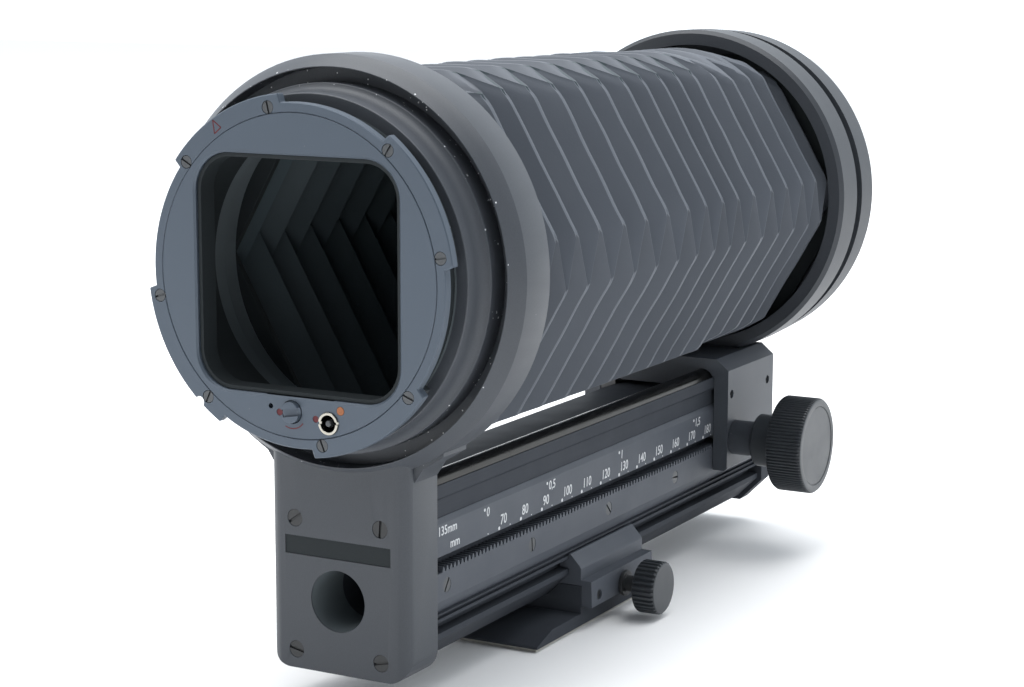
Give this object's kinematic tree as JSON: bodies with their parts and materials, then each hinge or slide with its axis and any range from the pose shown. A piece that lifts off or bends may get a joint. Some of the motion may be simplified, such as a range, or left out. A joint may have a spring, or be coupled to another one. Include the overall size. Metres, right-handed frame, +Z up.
{
  "type": "macro bellows unit",
  "caption": "Folded bellows between a rear bayonet mount and a lens standard that a rack and pinion drives along a rail on a tripod foot.",
  "frame": {"origin": "centre of the large tripod socket at the underside of the foot", "axes": "+Y along the optical axis from the rear mount to the lens, +X towards the focus knob and the scale, +Z up"},
  "size_m": [0.0903, 0.2155, 0.1365],
  "materials": {
    "casting_paint": "matte",
    "black_paint": "matte",
    "mount_metal": "satin",
    "anodised_black": "satin",
    "knob_black": "satin",
    "bright_steel": "polished",
    "screw_steel": "satin",
    "nickel": "polished",
    "cork_pad": "matte",
    "bellows_cloth": "matte",
    "bronze": "satin",
    "red_paint": "gloss",
    "copper": "satin"
  },
  "bodies": {
    "foot": {"foot_plate": "anodised_black", "foot_pad": "cork_pad"},
    "jaw": {"clamp_jaw": "anodised_black", "clamp_pins": "screw_steel"},
    "clamp": {"clamp_screw": "screw_steel", "clamp_knob": "knob_black"},
    "rail_unit": {"rail": "anodised_black", "guide_rod": "bright_steel", "scale_plate": "anodised_black", "rack": "anodised_black", "rack_screws": "screw_steel", "rail_end_plate": "anodised_black", "end_screws": "screw_steel", "rear_standard": "casting_paint", "rear_collar": "casting_paint", "mount_base": "black_paint", "bayonet_ring": "mount_metal", "mount_plate": "mount_metal", "light_mask": "black_paint", "mount_screws": "screw_steel", "plunger_sleeve": "nickel", "red_marks": "red_paint", "contact_stud": "copper", "standard_screws": "screw_steel", "name_plate": "casting_paint", "rear_frame": "black_paint", "bellows": "bellows_cloth"},
    "cocking": {"cocking_shaft": "screw_steel"},
    "plunger": {"release_plunger": "nickel"},
    "carriage_unit": {"carriage": "casting_paint", "gib": "bronze", "gib_screws": "black_paint", "cheek_screws": "black_paint", "pinion_housing": "casting_paint", "standard_bolts": "black_paint", "lens_standard": "casting_paint", "front_frame": "black_paint", "lens_ring": "casting_paint", "lens_bayonet": "nickel", "lens_bayonet_screws": "screw_steel"},
    "catch": {"lens_catch": "screw_steel"},
    "knob": {"pinion_shaft": "screw_steel", "knob_hub": "knob_black", "focus_knob": "knob_black", "knob_cap": "knob_black"}
  },
  "joints": [
    {"name": "clamp_slide", "type": "slide", "parent": "foot", "child": "jaw", "axis": [1, 0, 0], "range_m": [0, 0.0008]},
    {"name": "clamp_turn", "type": "hinge", "parent": "jaw", "child": "clamp", "pos_m": [0, 0.008, 0.0076], "axis": [1, 0, 0], "range_deg": [0, 362]},
    {"name": "rail_slide", "type": "slide", "parent": "foot", "child": "rail_unit", "axis": [0, 1, 0], "range_m": [-0.081, 0.06]},
    {"name": "focus_slide", "type": "slide", "parent": "rail_unit", "child": "carriage_unit", "axis": [0, 1, 0], "range_m": [-0.1385, 0], "deforming": ["bellows"]},
    {"name": "focus_turn", "type": "hinge", "parent": "carriage_unit", "child": "knob", "pos_m": [0, 0.079, 0.0299], "axis": [1, 0, 0], "range_deg": [-2, 3970]},
    {"name": "cocking_turn", "type": "hinge", "parent": "rail_unit", "child": "cocking", "pos_m": [-0.0012, -0.096, 0.0652], "axis": [0, 1, 0], "range_deg": [0, 290]},
    {"name": "plunger_press", "type": "slide", "parent": "rail_unit", "child": "plunger", "axis": [0, 1, 0], "range_m": [0, 0.0022], "stiffness_N_per_m": 300, "springref_m": -0.002},
    {"name": "catch_pull", "type": "slide", "parent": "carriage_unit", "child": "catch", "axis": [-1, 0, 0], "range_m": [0, 0.0016], "stiffness_N_per_m": 400, "springref_m": -0.002}
  ],
  "couplings": [
    {"joint": "clamp_turn", "follows": "clamp_slide", "rad_per_m": 7854},
    {"joint": "focus_turn", "follows": "focus_slide", "rad_per_m": -500}
  ]
}
